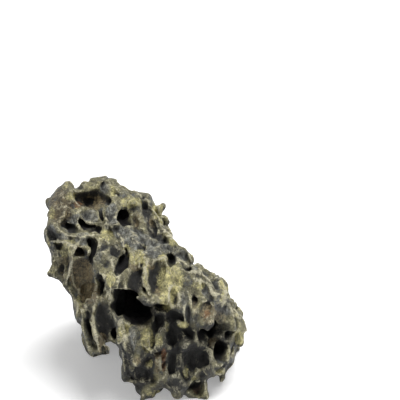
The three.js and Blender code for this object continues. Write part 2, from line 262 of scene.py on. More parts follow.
# Where each finish lies on the front, set out as the plates are. The dark patches are dark
# stone with painted shade in the scoops and holes.
PATCHES = {
    "clay": (
        (23, 64, 11, 14), (20, 49, 6, 10), (-6, 84, 8, 6), (2, 72, 2.5, 13, 0.9),
        (70, 62, 6, 7), (68, 50, 3, 7, 0.7), (47, 61, 7, 4, 0.7), (-11, 131, 9, 5),
        (12, 125, 5, 8, 0.9), (16, 116, 3, 5, 0.8), (26, 98, 6, 5, 0.8), (-28, 66, 4, 7),
        (-26, 139, 2.5, 9, 0.6), (-10, 142, 5, 3, 0.8), (-62, 136, 5, 4, 0.8),
        (-66, 90, 7, 6, 0.6), (-68, 97, 9, 2.5, 0.8), (-82, 96, 3, 6, 0.6),
        (-31, 103, 6, 5, 0.8), (-14, 92, 3, 4, 0.7), (-4, 88, 5, 3, 0.7), (16, 84, 4, 3, 0.9),
        (3, 14, 6, 12, 0.8), (13, 14, 4, 6, 0.7), (20, 25, 2, 5, 0.6), (-17, 22, 5, 8, 0.8),
        (-14, 28, 6, 4, 0.7), (34, 27, 5, 3, 0.9), (36, -13, 2.5, 6, 0.6), (43, -20, 3, 4, 0.6),
        (6, -6, 2, 4, 0.8), (11, -17, 3, 4, 0.5), (8, -31, 7, 3, 0.7), (66, -13, 5, 3, 0.7),
        (81, 16, 4, 7, 0.7), (78, 40, 4, 8, 0.6), (-55, 44, 2.5, 8, 0.7), (-78, 122, 3, 7, 0.6),
        (-67, 146, 4, 5, 0.5), (-57, 124, 5, 3, 0.5),
    ),
    "slate": (
        (-18, 107, 9, 7), (-14, 97, 6, 5), (2, 98, 7, 6), (9, 90, 7, 8), (-2, 91, 6, 4, 0.9),
        (22, 92, 8, 5, 0.9), (33, 86, 8, 5, 0.9), (43, 77, 4, 5), (-27, 122, 6, 9, 0.9),
        (-45, 119, 7, 6), (-60, 118, 6, 8, 0.8), (-33, 143, 4, 5, 0.9), (-79, 106, 4, 7),
        (-70, 101, 9, 4), (-51, 100, 7, 6, 0.9), (-38, 85, 4, 8, 0.7), (-46, 47, 5, 3, 0.8),
        (52, 57, 3, 8, 0.7), (35, 49, 4, 8, 0.6), (25, 49, 2.5, 6, 0.7), (71, 38, 5, 4, 0.7),
        (3, 117, 3, 4, 0.7), (38, 34, 8, 8, 0.5), (-9, 15, 3, 14, 0.7), (-18, 138, 4, 4, 0.5),
        (64, 67, 4, 3, 0.6), (-18, 3, 3, 12, 0.5), (-25, 112, 8, 7, 0.9), (-8, 101, 10, 7),
        (14, 97, 6, 5, 0.7),
    ),
    # Dark stone, and painted shade in the scoops and holes of the front.
    "dark_slate_and_shade": (
        (-33, 31, 8, 16), (-7, 63, 7, 11, 0.9), (9, 66, 6, 12, 0.9), (-24, 90, 5, 6, 0.8),
        (-42, 134, 12, 7, 0.9), (4, 124, 4, 7, 0.8), (8, 111, 6, 7, 0.8), (14, 38, 14, 8),
        (12, 28, 6, 9, 0.9), (27, 20, 8, 11, 0.9), (40, 18, 9, 5, 0.8), (-1, -3, 3, 9, 0.8),
        (-2, -16, 11, 8), (25, -4, 6, 14), (45, -1, 14, 11), (28, -24, 10, 6, 0.9),
        (-47, 55, 9, 8, 0.9), (-56, 64, 4, 9, 0.8), (62, 14, 14, 12, 0.8), (58, 22, 9, 9),
        (-46, 37, 4, 7, 0.7), (-15, -8, 4, 10, 0.6), (-42, 88, 3, 12, 0.7), (54, -8, 5, 6, 0.8),
        (-4, 40, 14, 12, 0.8), (32, 6, 26, 24, 0.8), (-71, 130, 14, 18, 0.75),
        (-12, 2, 4, 13, 0.8), (-4, -20, 14, 9, 0.7),
    ),
    "brown": (
        (-42, 131, 12, 7, 0.6), (-53, 70, 10, 13, 1.3), (-46, 54, 9, 9, 1.2), (-71, 69, 5, 6),
        (-54, 89, 4, 6, 0.9), (-35, 11, 5, 9), (-53, 41, 3, 6, 0.7), (-72, 128, 13, 18, 0.6),
        (-66, 80, 8, 8, 0.5), (-8, 76, 6, 4, 0.7), (6, 77, 4, 4, 0.8), (-5, 116, 5, 7, 0.5),
        (8, 114, 4, 6, 0.5), (0, 27, 6, 4, 0.7), (12, -6, 3, 10, 0.7), (60, 12, 5, 5, 0.7),
        (44, 44, 4, 8, 0.5), (56, 36, 8, 9, 0.7), (64, 33, 8, 6, 0.5), (75, 56, 3, 5, 0.5),
        (14, 55, 5, 5, 0.6), (-6, -4, 4, 4, 0.8), (-33, 47, 4, 8, 0.4),
    ),
    "rust": (
        (-56, 129, 4, 3, 0.9), (17, 1, 2.5, 6), (17, -8, 2, 5), (54, 36, 3, 4, 0.8),
        (45, -27, 3, 5, 0.9), (11, 0, 3, 3, 0.6), (-68, 73, 3, 2, 0.6), (-56, 91, 2, 3, 0.6),
    ),
}


def real(name, description, default, unit="NONE", low=0.0):
    """A property for a number, in metres where its unit is length and watts where power."""
    return FloatProperty(
        name=name, description=description, default=default, min=low, unit=unit
    )


def tint(name, description, default):
    """A property for a linear colour."""
    return FloatVectorProperty(
        name=name, description=description, default=default, subtype="COLOR"
    )


class DragonStoneSizes(bpy.types.PropertyGroup):
    """Sizes of the weathering on the stone."""

    grain: real("Grain", "Distance between the points of the grid", 0.001, "LENGTH", 0.0005)
    wander: real("Wander", "How far large hollows stray from ellipsoids", 0.0032, "LENGTH")
    shiver: real("Shiver", "How far small edges stray from smooth curves", 0.0021, "LENGTH")
    roughness: real("Roughness", "Height of the grit and the fine flutes", 0.0006, "LENGTH")
    seed: IntProperty(
        name="Seed", description="Starting number of every random choice", default=7
    )


class DragonStoneColours(bpy.types.PropertyGroup):
    """Colours of the stone and its coatings, some also used for painted shade and painted
    highlight.
    """

    slate: tint("Slate", "Bare stone on the open faces", (0.20, 0.205, 0.19))
    # Dark slate, also painted as shade in hollows, on downward faces and on the dark patches of
    # the front.
    dark_slate_and_shade: tint("Dark slate and shade", "Bare stone in worn hollows", (0.027, 0.027, 0.025))
    clay: tint("Clay", "Yellow-olive clay that coats the plates", (0.47, 0.43, 0.20))
    khaki: tint("Khaki", "Thin film of clay between the plates", (0.245, 0.225, 0.12))
    # Pale wear, also painted as a highlight along sharp edges.
    cream: tint("Cream", "Pale worn edges and ribs", (0.66, 0.62, 0.45))
    brown: tint("Brown", "Earth in sheltered hollows", (0.140, 0.112, 0.062))
    rust: tint("Rust", "Iron stain in a few spots", (0.25, 0.115, 0.045))
    # Painted shade at the floor of the deepest holes.
    deep_hole_shade: tint("Deep hole shade", "Floor of the deepest holes", (0.006, 0.005, 0.005))


class DragonStoneStage(bpy.types.PropertyGroup):
    """Camera, floor and light."""

    lens: real("Lens", "Focal length of the camera in millimetres", 100.0, "CAMERA")
    key_power: real("Key power", "Large soft light overhead", 69.0, "POWER")
    fill_power: real("Fill power", "Each soft light at the sides and back", 1.5, "POWER")
    air: real("Air", "Strength of the even light from all around", 0.3)
    floor_glow: real("Floor glow", "Light the floor gives off, as a lit table does", 0.3)
    floor_size: real("Floor size", "Width of the pale floor", 6.0, "LENGTH")


def heading(compass, rise):
    """Unit vector at a compass turn from the front (-Y) towards +X, lifted by a rise."""
    turn, climb = math.radians(compass), math.radians(rise)
    return np.array(
        [
            math.sin(turn) * math.cos(climb),
            -math.cos(turn) * math.cos(climb),
            math.sin(climb),
        ]
    )


def spread(i, count):
    """Heading number i of a count spread evenly over a ball."""
    return heading(i * GOLDEN_ANGLE, math.degrees(math.asin(1 - (2 * i + 1) / count)))


def unit(vector):
    return vector / np.linalg.norm(vector)


def size_of(x, y, z):
    return np.sqrt(x**2 + y**2 + z**2)


def inverse_frame(axis, up, turn, half):
    """Frame that makes an ellipsoid the unit ball. Its depth lies along an axis; its width and
    height, turned around that axis, are set out from an up direction."""
    side = unit(np.cross(up, axis))
    rise = np.cross(axis, side)
    a = math.radians(turn)
    wide = side * math.cos(a) + rise * math.sin(a)
    high = rise * math.cos(a) - side * math.sin(a)
    return np.linalg.inv(np.stack([wide * half[0], high * half[1], axis * half[2]], 1))


def filled(row, count):
    """A table row, with zeros for what it leaves out at its end."""
    return (*row, *[0] * (count - len(row)))


ACROSS = np.array([1.0, 0.0, 0.0])
BOARD_UP = heading(180, 90 - BOARD_LEAN)
BOARD_OUT = heading(0, BOARD_LEAN)
EYE = STAND_ACROSS * ACROSS + STAND_UP * BOARD_UP + STAND_OFF * BOARD_OUT
FACE_HEADINGS = np.array([heading(compass, rise) for compass, rise, _ in FACES])
CHIP_COUNT = 10
CHIP_HEADINGS = np.array([spread(i, CHIP_COUNT) for i in range(CHIP_COUNT)])


def reach(offset):
    """1 on the mass's skin: the 24th root of the sum, over the faces, of the 24th power of
    offset along the face's heading over the face's distance, with negative shares left out."""
    total = 0.0
    for (_, _, distance), out in zip(FACES, FACE_HEADINGS):
        share = np.maximum(
            0, (offset[0] * out[0] + offset[1] * out[1] + offset[2] * out[2]) / distance
        )
        eighth = share * share
        eighth *= eighth
        eighth *= eighth
        total = total + eighth * eighth * eighth
    return total ** (1 / ROUNDING)


def outward_at(points):
    """Direction in which reach grows fastest, by small steps along the three axes."""
    start = (np.asarray(points) - MIDDLE).T
    here = reach(start)
    slope = np.stack(
        [reach(start + 0.5 * axis.reshape(3, *[1] * (start.ndim - 1))) - here
         for axis in np.eye(3)], -1
    )
    return slope / np.linalg.norm(slope, axis=-1, keepdims=True)


def sight_line(right, up):
    """Unit vector from the stand-off point through a place on the board."""
    return unit(right * ACROSS + up * BOARD_UP - EYE)


def spline_weights(count, step, spacing):
    """Rows of uniform cubic B-spline weights that carry a lattice to count points."""
    place = np.arange(count) * step / spacing + 1
    cell = np.floor(place).astype(int)
    t = place - cell
    weights = np.zeros((count, math.ceil(OUTSIDE / spacing) + 4))
    rows = np.arange(count)
    weights[rows, cell - 1] = (1 - t) ** 3 / 6
    weights[rows, cell] = (3 * t**3 - 6 * t**2 + 4) / 6
    weights[rows, cell + 1] = (-3 * t**3 + 3 * t**2 + 3 * t + 1) / 6
    weights[rows, cell + 2] = t**3 / 6
    return weights.astype(np.float32)


def soft_noise(rng, shape, step, spacings):
    """Smooth random field: normal values on a lattice, carried to the grid by cubic
    B-spline weights along each axis in turn."""
    wx, wy, wz = (
        spline_weights(count, step, spacing) for count, spacing in zip(shape, spacings)
    )
    lattice = rng.standard_normal((wx.shape[1], wy.shape[1], wz.shape[1])).astype(np.float32)
    field = np.tensordot(wx, lattice, (1, 0))
    field = np.tensordot(field, wy, (1, 1))
    field = np.tensordot(field, wz, (1, 1))
    return field * NOISE_GAIN


def box_blur(field, radius):
    """Mean over a cube of 2 * radius + 1 points, by running sums along each axis in turn."""
    span = 2 * radius + 1
    for axis in range(3):
        size = field.shape[axis]
        ends = [np.repeat(field.take([end], axis), radius, axis) for end in (0, -1)]
        padded = np.concatenate([ends[0], field, ends[1]], axis)
        running = np.cumsum(padded, axis, dtype=np.float64)
        high = running.take(np.arange(span - 1, span - 1 + size), axis)
        low = np.concatenate(
            [np.zeros_like(high.take([0], axis)), running.take(np.arange(size - 1), axis)], axis
        )
        field = ((high - low) / span).astype(np.float32)
    return field


class Block:
    """The stone as a field on a grid of points: below zero inside, roughly millimetres."""

    def __init__(self, step, sizes, rng):
        """The mass: length of offset from its middle times (1 - 1 / reach of offset), with
        the places shifted by soft noise."""
        self.step = step
        self.origin = GRID_LOW
        self.shape = tuple(np.ceil((GRID_HIGH - GRID_LOW) / step).astype(int))
        axes = [
            (self.origin[i] + step * np.arange(self.shape[i])).astype(np.float32)
            for i in range(3)
        ]
        self.place = np.meshgrid(*axes, indexing="ij", sparse=True)
        self.rng = rng
        self.roughness = sizes.roughness / MM
        wander, shiver = sizes.wander / MM, sizes.shiver / MM
        self.shift = [
            wander * soft_noise(rng, self.shape, step, (24, 24, 24))
            + shiver * soft_noise(rng, self.shape, step, (7, 7, 9))
            for _ in range(3)
        ]
        self.bent = [self.place[i] + self.shift[i] for i in range(3)]
        offset = [
            self.place[i] + 0.4 * self.shift[i] - np.float32(MIDDLE[i]) for i in range(3)
        ]
        far = size_of(*offset)
        self.field = far * (1 - 1 / np.maximum(reach(offset), 1e-3))
        outward = (offset[1] * BOARD_OUT[1] + offset[2] * BOARD_OUT[2]) / (far + 1)
        right, up = board_places(np.stack(np.broadcast_arrays(*self.place), -1))
        limbs = board_patches(right, up, LIMBS)
        self.front = np.maximum(np.clip(outward * 3 + 0.3, 0, 1), limbs).astype(np.float32)

    def sample(self, field, points):
        """Value of a grid field at free points, by trilinear weights."""
        at = (np.asarray(points) - self.origin) / self.step
        at = np.clip(at, 0, np.array(self.shape) - 1.001)
        cell = at.astype(int)
        t = at - cell
        total = 0.0
        for corner in np.ndindex(2, 2, 2):
            weight = np.prod(np.where(corner, t, 1 - t), axis=-1)
            i, j, k = (cell[..., n] + corner[n] for n in range(3))
            total = total + weight * field[i, j, k]
        return total

    def part_around(self, low, high):
        """Slice of the grid between two corners, or nothing when it lies outside."""
        low = np.clip(np.floor((low - self.origin) / self.step).astype(int), 0, self.shape)
        high = np.ceil((high - self.origin) / self.step).astype(int) + 1
        high = np.clip(high, 0, self.shape)
        if (high <= low).any():
            return None
        return tuple(slice(a, b) for a, b in zip(low, high))

    def distance(self, centre, frame_in, margin, chipped=False):
        """Signed distance to an ellipsoid near it: with q the point in the frame that makes
        it the unit ball, length of q times (length of q - 1) over the length of q carried
        back. Chipped, the (length of q - 1) takes, for the length, 1.1 times the 16th root of
        the sum of the 16th powers of q along ten headings, so that flat faces meet in
        corners. Returns the slice of the grid that it reaches, and the distances there."""
        half = np.linalg.norm(np.linalg.inv(frame_in), axis=1) + margin
        part = self.part_around(centre - half, centre + half)
        if part is None:
            return None, None
        moved = centre + np.array(
            [self.sample(self.shift[i], centre[None])[0] for i in range(3)]
        )
        offset = [self.bent[i][part] - np.float32(moved[i]) for i in range(3)]
        frame_in = frame_in.astype(np.float32)
        q = [sum(frame_in[r, i] * offset[i] for i in range(3)) for r in range(3)]
        back = [sum(frame_in[r, i] * q[r] for r in range(3)) for i in range(3)]
        size = size_of(*q)
        slope = size_of(*back) + 1e-6
        span = size
        if chipped:
            turn = np.linalg.qr(self.rng.standard_normal((3, 3)))[0]
            total = 0.0
            for out in (CHIP_HEADINGS @ turn).astype(np.float32):
                share = np.maximum(q[0] * out[0] + q[1] * out[1] + q[2] * out[2], 0)
                share *= share
                share *= share
                share *= share
                total = total + share * share
            span = 1.1 * total ** (1 / 16)
        return part, size * (span - 1) / slope

    def join(self, part, far, blend):
        """Union with a shape: the lower field, less the square of what the gap between the
        two leaves of a blend width, over four such widths."""
        here = self.field[part]
        near = np.maximum(blend - abs(here - far), 0)
        self.field[part] = np.minimum(here, far) - near * near / (4 * blend)

    def cut(self, centre, frame_in, blend, chipped=False):
        """Takes an ellipsoid out of the stone: a join of the empty space to it."""
        centre = np.asarray(centre, float)
        part, far = self.distance(centre, frame_in, 3 * self.step + blend, chipped)
        if part is None:
            return
        here = self.field[part]
        near = np.maximum(blend - abs(here + far), 0)
        self.field[part] = np.maximum(here, -far) + near * near / (4 * blend)

    def bowl(self, spot, inward, half, deep, turn, up, lift, blend, chipped=True):
        """Takes out an ellipsoid whose axis runs inward from a spot on the surface."""
        frame_in = inverse_frame(inward, up, turn, (*half, deep + lift))
        self.cut(spot - inward * lift, frame_in, blend, chipped)

    def meet(self, start, along, near, far):
        """First point below the surface on a straight line, and how far along it is."""
        steps = np.arange(near, far, FEELER)
        points = start + steps[:, None] * along
        inside = self.sample(self.field, points) < 0
        if not inside.any():
            return None, None
        first = np.argmax(inside)
        return points[first], steps[first]

    def cut_flutes(self):
        """Cuts long ellipsoids that point at the stand-off point."""
        near = STAND_OFF - FLUTE_NEARER
        for row in FLUTES:
            right, up, wide, high, turn = filled(row, 5)
            along = sight_line(right, up)
            spot = EYE + along * near / -(along @ BOARD_OUT)
            half = np.array([wide, high]) * near / STAND_OFF
            self.bowl(spot, along, half, FLUTE_HALF_LENGTH, -turn, BOARD_UP, 0, 3.0, False)

    def cut_front(self, table, kind):
        """Cuts the hollows of a table where the lines from the stand-off point meet stone."""
        for row in table:
            right, up, wide, high, deep, turn, tilt = filled(row, 7)
            along = sight_line(right, up)
            spot, _ = self.meet(EYE, along, FRONT_NEAR, FRONT_FAR)
            if spot is None:
                continue
            normal = -outward_at(spot)
            if kind == "hole":
                inward = unit(np.array([along[0], along[1], 0]) + 0.3 * normal)
                lift, bulge, blend = 0.0, 1.0, 0.8
            else:
                inward = unit(normal + 0.6 * along)
                lift, bulge, blend = 0.6 * deep, 1.15, 0.6
            if kind == "scoop" and deep > SHALLOW:
                tilt += SCOOP_LEAN
            if tilt:
                rise = unit(BOARD_UP - (BOARD_UP @ inward) * inward)
                lean = math.radians(tilt)
                inward = inward * math.cos(lean) + rise * math.sin(lean)
            half = (wide * bulge, high * bulge)
            chipped = wide < CHIPPED_BELOW
            self.bowl(spot, inward, half, deep, -turn, BOARD_UP, lift, blend, chipped)

    def raise_lumps(self):
        """Joins flat ellipsoids that are half sunk where the lines meet stone."""
        for row in LUMPS:
            right, up, wide, high, rise, turn = filled(row, 6)
            spot, _ = self.meet(EYE, sight_line(right, up), FRONT_NEAR, FRONT_FAR)
            if spot is None:
                continue
            outward = unit(outward_at(spot) + BOARD_OUT)
            frame_in = inverse_frame(outward, BOARD_UP, turn, (wide, high, 2 * rise))
            part, far = self.distance(spot - outward * rise, frame_in, 5)
            self.join(part, far, 2.0)

    def raise_ribs(self):
        """Joins thin ribs: a round profile carried along a path on the surface, whose depth
        is the running mean of where the lines meet stone."""
        place = np.broadcast_arrays(*self.place)
        for radius, *corners in RIBS:
            corners = np.array(corners, float)
            pieces = np.linalg.norm(np.diff(corners, axis=0), axis=1)
            length = np.concatenate([[0], np.cumsum(pieces)])
            at = np.linspace(0, length[-1], max(3, round(length[-1] / 1.3)))
            right = np.interp(at, length, corners[:, 0])
            up = np.interp(at, length, corners[:, 1])
            lines = np.array([sight_line(u, v) for u, v in zip(right, up)])
            depth = [self.meet(EYE, line, FRONT_NEAR, FRONT_FAR)[1] for line in lines]
            depth = np.array(depth, float)
            known = np.isfinite(depth)
            if not known.any():
                continue
            depth = np.interp(at, at[known], depth[known])
            padded = np.pad(depth, 3, mode="edge")
            depth = np.convolve(padded, np.ones(7) / 7, "valid")
            thick = 0.6 * radius
            path = EYE + lines * (depth + 0.3 * thick)[:, None]
            for start, end in zip(path[:-1], path[1:]):
                margin = radius + 3
                part = self.part_around(
                    np.minimum(start, end) - margin, np.maximum(start, end) + margin
                )
                span = end - start
                offset = [place[i][part] - start[i] for i in range(3)]
                share = sum(offset[i] * span[i] for i in range(3)) / (span @ span)
                share = np.clip(share, 0, 1)
                gap = [offset[i] - share * span[i] for i in range(3)]
                self.join(part, size_of(*gap) - thick, 1.2)

    def cut_elsewhere(self):
        """Cuts broad hollows at golden-angle steps over the faces that the board misses."""
        for i in range(WORN_COUNT):
            out = spread(i, WORN_COUNT)
            if out @ BOARD_OUT > WORN_FACING or out[2] < WORN_LOWEST:
                continue
            pick, other = (i * 0.618) % 1, (i * 0.7549 + 0.31) % 1
            wide = np.interp(pick, (0, 1), WORN_HALF_WIDTH)
            high = wide * np.interp(other, (0, 1), (0.55, 1))
            deep = np.interp(other * other, (0, 1), WORN_DEPTH)
            spot, _ = self.meet(MIDDLE + OUTSIDE * out, -out, 40, OUTSIDE)
            if spot is None:
                continue
            inward = -outward_at(spot)
            up = heading(0, 89)
            self.bowl(spot, inward, (wide, high), deep, pick * 360, up, 0.5 * deep, 2.0)

    def surface_spots(self, spacing, limit):
        """One random surface point and its outward direction in each cube of a spacing,
        where the mass faces the board by less than a limit."""
        near = (self.field < 0) & (self.field > -1.2 * self.step)
        near[[0, -1]] = near[:, [0, -1]] = near[:, :, [0, -1]] = False
        index = np.argwhere(near)
        index = index[self.rng.permutation(len(index))]
        points = self.origin + index * self.step
        cube = np.floor(points / spacing + self.rng.random(3)).astype(int)
        _, first = np.unique(cube @ np.array([1, 1000, 1000000]), return_index=True)
        index, points = index[first], points[first]
        good = (points[:, 2] > 2) & (outward_at(points) @ BOARD_OUT < limit)
        index, points = index[good], points[good]
        slope = np.stack(
            [
                self.field[tuple((index + axis).T)] - self.field[tuple((index - axis).T)]
                for axis in np.eye(3, dtype=int)
            ],
            1,
        )
        length = np.linalg.norm(slope, axis=1)
        order = self.rng.permutation(np.flatnonzero(length > 0.3 * self.step))
        return points[order], slope[order] / length[order, None]

    def on_plate(self, spot):
        """Whether a spot is on one of the front's smooth plates."""
        right, up = board_places(spot[None])
        smooth = PATCHES["clay"] + PATCHES["slate"] + LIMBS
        return board_patches(right, up, smooth)[0] > SMOOTH_FROM

    def trim(self, radius, share):
        """Wears away thin fins and spikes, where less than a share of the cube around a
        point is stone, by a rate times what is missing of that share."""
        full = box_blur((self.field < 0).astype(np.float32), radius)
        self.field += np.maximum(share - full, 0) * TRIM_RATE

    def weather(self, spacing, half_range, depth_share, stretch, keep):
        """Cuts small bowls: half widths drawn between two sizes, depth a share of the half
        width, drawn out along the stone's grain."""
        for spot, normal in zip(*self.surface_spots(spacing, -half_range[1] / 50)):
            if self.rng.random() > keep or self.on_plate(spot):
                continue
            half = self.rng.uniform(*half_range)
            deep = half * self.rng.uniform(*depth_share)
            length = half * self.rng.uniform(1.0, stretch)
            up = GRAIN - (GRAIN @ normal) * normal + 1e-3
            turn = self.rng.normal(0, 22)
            self.bowl(spot, -normal, (half, length), deep, turn, up, 0.6 * deep, 0.6)

    def bore(self, spacing, half_range, depth_range, keep):
        """Cuts deep pits, run inward between the surface's direction and level."""
        for spot, normal in zip(*self.surface_spots(spacing, -0.3)):
            if self.rng.random() > keep or self.on_plate(spot):
                continue
            half = self.rng.uniform(*half_range)
            inward = unit(-normal * np.array([1, 1, 0.45]) + 1e-3)
            deep = self.rng.uniform(*depth_range)
            high = half * self.rng.uniform(0.7, 1.6)
            turn = self.rng.uniform(-40, 40)
            up = np.array([0.1, 0.1, 1.0])
            self.bowl(spot, inward, (half, high), deep, turn, up, 0.0, 0.8)

    def scallop(self, spacings, front_depth, other_depth):
        """Wears the faces into scallops that meet in sharp ridges: the size of a smooth
        random value, at most 1.6, less 0.55, times a depth that differs between the front
        and the other sides."""
        noise = soft_noise(self.rng, self.shape, self.step, spacings)
        depth = other_depth + (front_depth - other_depth) * self.front
        self.field += depth * (np.minimum(abs(noise), 1.6) - 0.55)

    def cup(self, spacing, stretch, front_depth, other_depth):
        """Wears the faces into cups that meet in sharp ridges: with d the distance to the
        nearest of a jittered lattice of points, in cells of a spacing drawn out by a stretch,
        twice a depth times (0.36 - d squared). The plates of the front keep a third of it."""
        jitter = self.rng.random((16, 16, 16, 3)).astype(np.float32)
        band = np.nonzero(abs(self.field) < 7)
        place = [
            self.bent[i][band] / np.float32(spacing * stretch[i]) for i in range(3)
        ]
        cell = [np.floor(p).astype(np.int32) for p in place]
        nearest = np.full(len(band[0]), 9, np.float32)
        for shift in np.ndindex(3, 3, 3):
            corner = [cell[i] + (shift[i] - 1) for i in range(3)]
            seed = jitter[corner[0] & 15, corner[1] & 15, corner[2] & 15]
            far = sum((place[i] - corner[i] - seed[:, i]) ** 2 for i in range(3))
            np.minimum(nearest, far.astype(np.float32), out=nearest)
        front = self.front[band]
        right, up = board_places(self.origin + np.stack(band, 1) * self.step)
        calm = 1 - 0.67 * board_patches(right, up, PLATES) * front
        depth = (other_depth + (front_depth - other_depth) * front) * calm
        self.field[band] += depth * (0.36 - nearest) * 2

    def roughen(self):
        """Adds flutes drawn out along the grain, and grit, to the depth of every face."""
        rng, shape, step = self.rng, self.shape, self.step
        flutes = soft_noise(rng, shape, step, (2.6, 2.8, 10))
        grit = soft_noise(rng, shape, step, (2.6, 2.6, 2.6))
        self.field += self.roughness * (flutes + 0.6 * grit)

    def stand(self):
        """Ends the stone on a level ground."""
        self.field = np.maximum(self.field, -self.place[2])

    def unpinch(self):
        """Fills one empty corner of each grid square whose two stone corners only touch
        across its diagonal, so that no edge of the skin is shared by four faces."""
        for first, second in ((0, 1), (0, 2), (1, 2)) * 3:
            corners = []
            for shift in np.ndindex(2, 2):
                part = [slice(None)] * 3
                part[first] = slice(shift[0], self.shape[first] - 1 + shift[0])
                part[second] = slice(shift[1], self.shape[second] - 1 + shift[1])
                corners.append(self.field[tuple(part)])
            a, b, c, d = (corner < 0 for corner in corners)
            corners[1][a & d & ~b & ~c] = -0.05 * self.step
            corners[0][b & c & ~a & ~d] = -0.05 * self.step


def skin(field):
    """Surface net of a grid field: each cell that the zero level crosses gets one vertex, the
    mean of the crossings on its twelve edges, and each crossed edge a quad between the
    vertices of its four cells. A function of two parameters can't reach behind the holes and
    the arches, so the stone is made this way. Returns vertices in grid steps, and quads
    facing outwards."""
    cells = tuple(np.array(field.shape) - 1)
    total = [np.zeros(cells, np.float32) for _ in range(3)]
    count = np.zeros(cells, np.int8)
    inside = field < 0
    crossings = []
    for axis in range(3):
        low = [slice(None)] * 3
        high = [slice(None)] * 3
        low[axis], high[axis] = slice(None, -1), slice(1, None)
        a, b = field[tuple(low)], field[tuple(high)]
        crossed = inside[tuple(low)] != inside[tuple(high)]
        share = np.where(crossed, a / np.where(crossed, a - b, 1), 0)
        crossings.append((crossed, inside[tuple(low)]))
        others = [i for i in range(3) if i != axis]
        index = np.indices(crossed.shape, dtype=np.float32, sparse=True)
        for shift in np.ndindex(2, 2):
            part = [slice(None)] * 3
            for other, s in zip(others, shift):
                part[other] = slice(s, cells[other] + s)
            part = tuple(part)
            here = crossed[part]
            count += here
            for i in range(3):
                along = index[i] + share if i == axis else index[i] + 0 * share
                total[i] += np.where(here, along[part], 0)
    active = count > 0
    number = np.full(cells, -1, np.int64)
    number[active] = np.arange(active.sum())
    vertices = np.stack([part[active] / count[active] for part in total], 1)
    quads = []
    for axis, (crossed, starts_inside) in enumerate(crossings):
        u, v = (axis + 1) % 3, (axis + 2) % 3
        spot = np.argwhere(crossed)
        spot = spot[(spot[:, u] > 0) & (spot[:, v] > 0)]
        spot = spot[(spot[:, u] < cells[u]) & (spot[:, v] < cells[v])]
        ring = []
        for du, dv in ((1, 1), (0, 1), (0, 0), (1, 0)):
            at = spot.copy()
            at[:, u] -= du
            at[:, v] -= dv
            ring.append(number[tuple(at.T)])
        quad = np.stack(ring, 1)
        outward = starts_inside[tuple(spot.T)]
        quads.append(np.where(outward[:, None], quad, quad[:, ::-1]))
    return vertices, np.concatenate(quads)


def largest_shell(vertices, quads):
    """Keeps the shell with the most vertices: labels spread along edges, each taking the
    lowest label it meets, until none changes."""
    label = np.arange(len(vertices))
    pairs = np.concatenate([quads[:, [0, 1]], quads[:, [1, 2]], quads[:, [2, 3]]])
    while True:
        lowest = np.minimum(label[pairs[:, 0]], label[pairs[:, 1]])
        fresh = label.copy()
        np.minimum.at(fresh, pairs[:, 0], lowest)
        np.minimum.at(fresh, pairs[:, 1], lowest)
        fresh = fresh[fresh]
        if (fresh == label).all():
            break
        label = fresh
    names, sizes = np.unique(label, return_counts=True)
    keep = label == names[np.argmax(sizes)]
    renumber = np.cumsum(keep) - 1
    return vertices[keep], renumber[quads[keep[quads[:, 0]]]]


def board_places(points):
    """Where lines from the stand-off point through free points cross the board."""
    offset = points - EYE
    scale = STAND_OFF / -(offset @ BOARD_OUT)
    return STAND_ACROSS + offset @ ACROSS * scale, STAND_UP + offset @ BOARD_UP * scale


def board_patches(right, up, table):
    """Strength of soft-edged ellipses on the board: with d the distance from the middle in
    half sizes, the greatest share times (1.5 - d squared), held between 0 and 1."""
    strength = np.zeros(right.shape)
    for across, height, wide, high, *share in table:
        far = ((right - across) / wide) ** 2 + ((up - height) / high) ** 2
        amount = share[0] if share else 1.0
        strength = np.maximum(strength, amount * np.clip(1.5 - far, 0, 1))
    return strength


def board_ribs(right, up):
    """1 on the ribs' paths on the board, falling to 0 a little outside their width."""
    strength = np.zeros(len(right))
    for radius, *corners in RIBS:
        for (u0, v0), (u1, v1) in zip(corners[:-1], corners[1:]):
            du, dv = u1 - u0, v1 - v0
            share = ((right - u0) * du + (up - v0) * dv) / (du * du + dv * dv)
            share = np.clip(share, 0, 1)
            gap = np.hypot(right - u0 - share * du, up - v0 - share * dv)
            strength = np.maximum(strength, np.clip(1.8 - gap / radius, 0, 1))
    return strength


class Link:
    """A socket in a shader tree, with arithmetic that adds Math nodes."""

    def __init__(self, shader, socket):
        self.shader = shader
        self.socket = socket

    def math(self, operation, *values, clamp=False):
        settings = {"operation": operation, "use_clamp": clamp}
        return self.shader.node("ShaderNodeMath", settings, values)

    def __add__(self, other):
        return self.math("ADD", self, other)

    __radd__ = __add__

    def __mul__(self, other):
        return self.math("MULTIPLY", self, other)

    def __sub__(self, other):
        return self.math("SUBTRACT", self, other)

    def __rsub__(self, other):
        return self.math("SUBTRACT", other, self)

    def __abs__(self):
        return self.math("ABSOLUTE", self)

    def clamp(self):
        return self.math("ADD", self, 0.0, clamp=True)

    def between(self, low, high):
        """0 at or below low, 1 at or above high, smooth in between."""
        return self.shader.node(
            "ShaderNodeMapRange",
            {"interpolation_type": "SMOOTHSTEP"},
            {"Value": self, "From Min": low, "From Max": high},
        )


